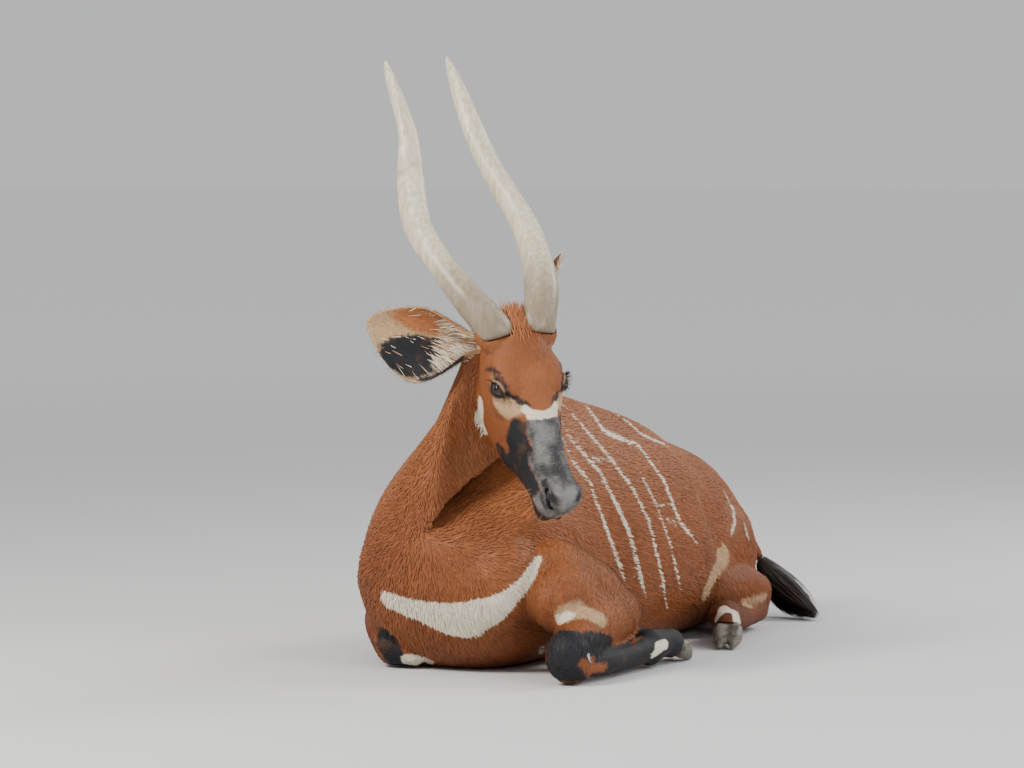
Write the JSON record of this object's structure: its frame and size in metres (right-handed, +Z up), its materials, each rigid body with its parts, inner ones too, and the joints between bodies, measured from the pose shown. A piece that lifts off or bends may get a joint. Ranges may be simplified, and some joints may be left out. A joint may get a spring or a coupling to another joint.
{
  "type": "bongo antelope",
  "caption": "Life-size still bongo antelope lying with folded legs and raised, turned head, with long lyre horns, cupped ears, a striped coat and a tufted tail.",
  "frame": {"origin": "middle of the bounding box, at the floor that the animal lies on", "axes": "+Z up, -Y the way the breast faces, +Y towards the rump, +X towards the animal's left side"},
  "size_m": [0.7066, 1.4564, 1.2889],
  "materials": {
    "coat": "short flat chestnut fur with cream stripes and dark leg and face markings",
    "eye": "wet dark brown eye with a wide pupil",
    "horn": "smooth ivory horn, dusky near the base",
    "hoof": "olive-grey horn with a dull sheen",
    "tail_hair": "long black hair in flat locks"
  },
  "bodies": {
    "root": {"torso": "coat", "neck": "coat", "head": "coat", "ear_left": "coat", "ear_right": "coat", "eye_left": "eye", "eye_right": "eye", "horn_left": "horn", "horn_right": "horn", "foreleg_upper_left": "coat", "foreleg_upper_right": "coat", "foreleg_lower_left": "coat", "foreleg_lower_right": "coat", "hindleg_upper_left": "coat", "hindleg_upper_right": "coat", "hindleg_lower_left": "coat", "hindleg_lower_right": "coat", "hoof_fore_left": "hoof", "hoof_fore_right": "hoof", "hoof_hind_left": "hoof", "hoof_hind_right": "hoof", "tail": "coat", "tail_tuft": "tail_hair"}
  },
  "joints": []
}
